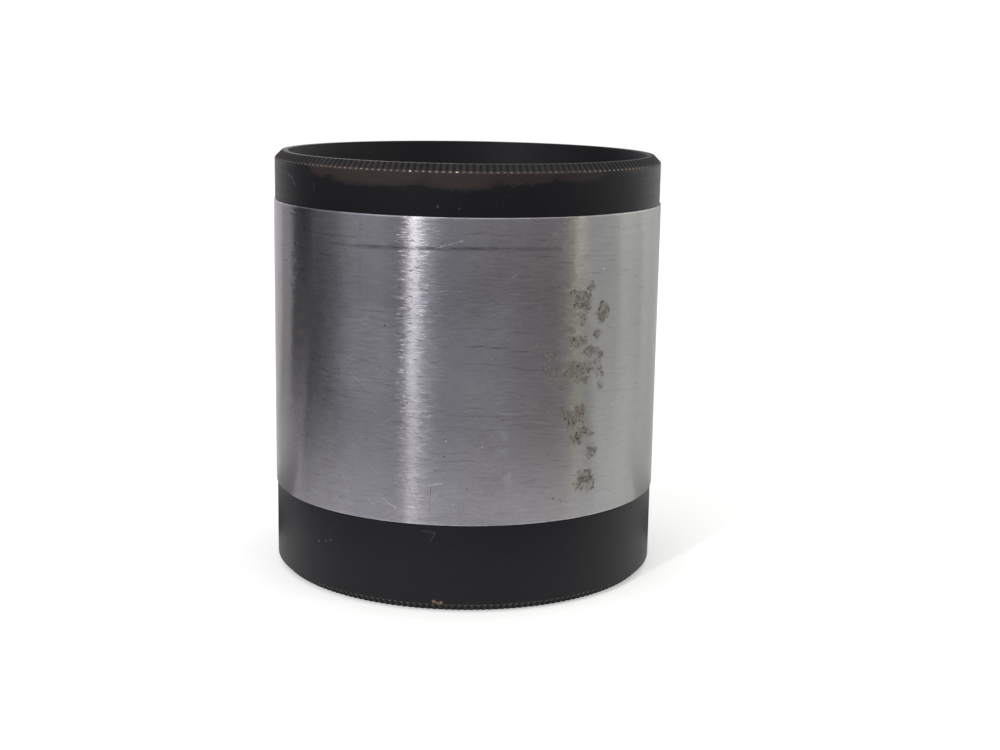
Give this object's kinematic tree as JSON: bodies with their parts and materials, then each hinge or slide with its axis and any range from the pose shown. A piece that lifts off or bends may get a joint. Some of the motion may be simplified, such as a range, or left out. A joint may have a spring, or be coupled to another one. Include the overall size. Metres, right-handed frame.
{
  "type": "projection lens",
  "caption": "Short projection lens: bare turned aluminium barrel between two black screw-in cells with fluted bevels, holding a fast double-Gauss set of glass elements.",
  "frame": {"origin": "centre of the foot, the flat lip of the rear ring that the lens stands on", "axes": "+Z along the optical axis towards the screen side; +X and +Y across it, with -Y towards the viewer of the picture"},
  "size_m": [0.0624, 0.0624, 0.0673],
  "materials": {
    "bare_aluminium": "bare turned aluminium with fine ring marks, stained and corroded in small patches",
    "black_anodised": "matt black anodised aluminium",
    "black_lacquered_brass": "satin black lacquer over brass, rubbed through at the tips of the flutes",
    "black_brass": "matt black lacquer over brass",
    "coated_glass": "polished dense crown glass with a single-layer blue-violet coating",
    "flint_glass": "polished flint glass"
  },
  "bodies": {
    "barrel": {"barrel": "bare_aluminium", "aperture_stop": "black_anodised", "stop_ring": "black_anodised"},
    "front_glass": {"front_element": "coated_glass", "front_doublet_crown": "coated_glass", "front_doublet_flint": "flint_glass"},
    "front_cell": {"front_cell": "black_lacquered_brass", "front_retaining_ring": "black_brass", "front_doublet_mount": "black_anodised", "front_doublet_ring": "black_anodised"},
    "rear_glass": {"rear_element": "coated_glass", "rear_doublet_crown": "coated_glass", "rear_doublet_flint": "flint_glass"},
    "rear_cell": {"rear_cell": "black_lacquered_brass", "rear_retaining_ring": "black_brass", "rear_doublet_mount": "black_anodised", "rear_doublet_ring": "black_anodised"}
  },
  "joints": [
    {"name": "front_cell_lift", "type": "slide", "parent": "barrel", "child": "front_glass", "axis": [0, 0, 1], "range_m": [0, 0.006]},
    {"name": "front_cell_turn", "type": "hinge", "parent": "front_glass", "child": "front_cell", "pos_m": [0, 0, 0.0597], "axis": [0, 0, 1], "range_deg": [0, 2160]},
    {"name": "rear_cell_lift", "type": "slide", "parent": "barrel", "child": "rear_glass", "axis": [0, 0, -1], "range_m": [0, 0.006]},
    {"name": "rear_cell_turn", "type": "hinge", "parent": "rear_glass", "child": "rear_cell", "pos_m": [0, 0, 0.0136], "axis": [0, 0, -1], "range_deg": [0, 2160]}
  ],
  "couplings": [
    {"joint": "front_cell_lift", "follows": "front_cell_turn", "m_per_rad": 0.00015915},
    {"joint": "rear_cell_lift", "follows": "rear_cell_turn", "m_per_rad": 0.00015915}
  ]
}
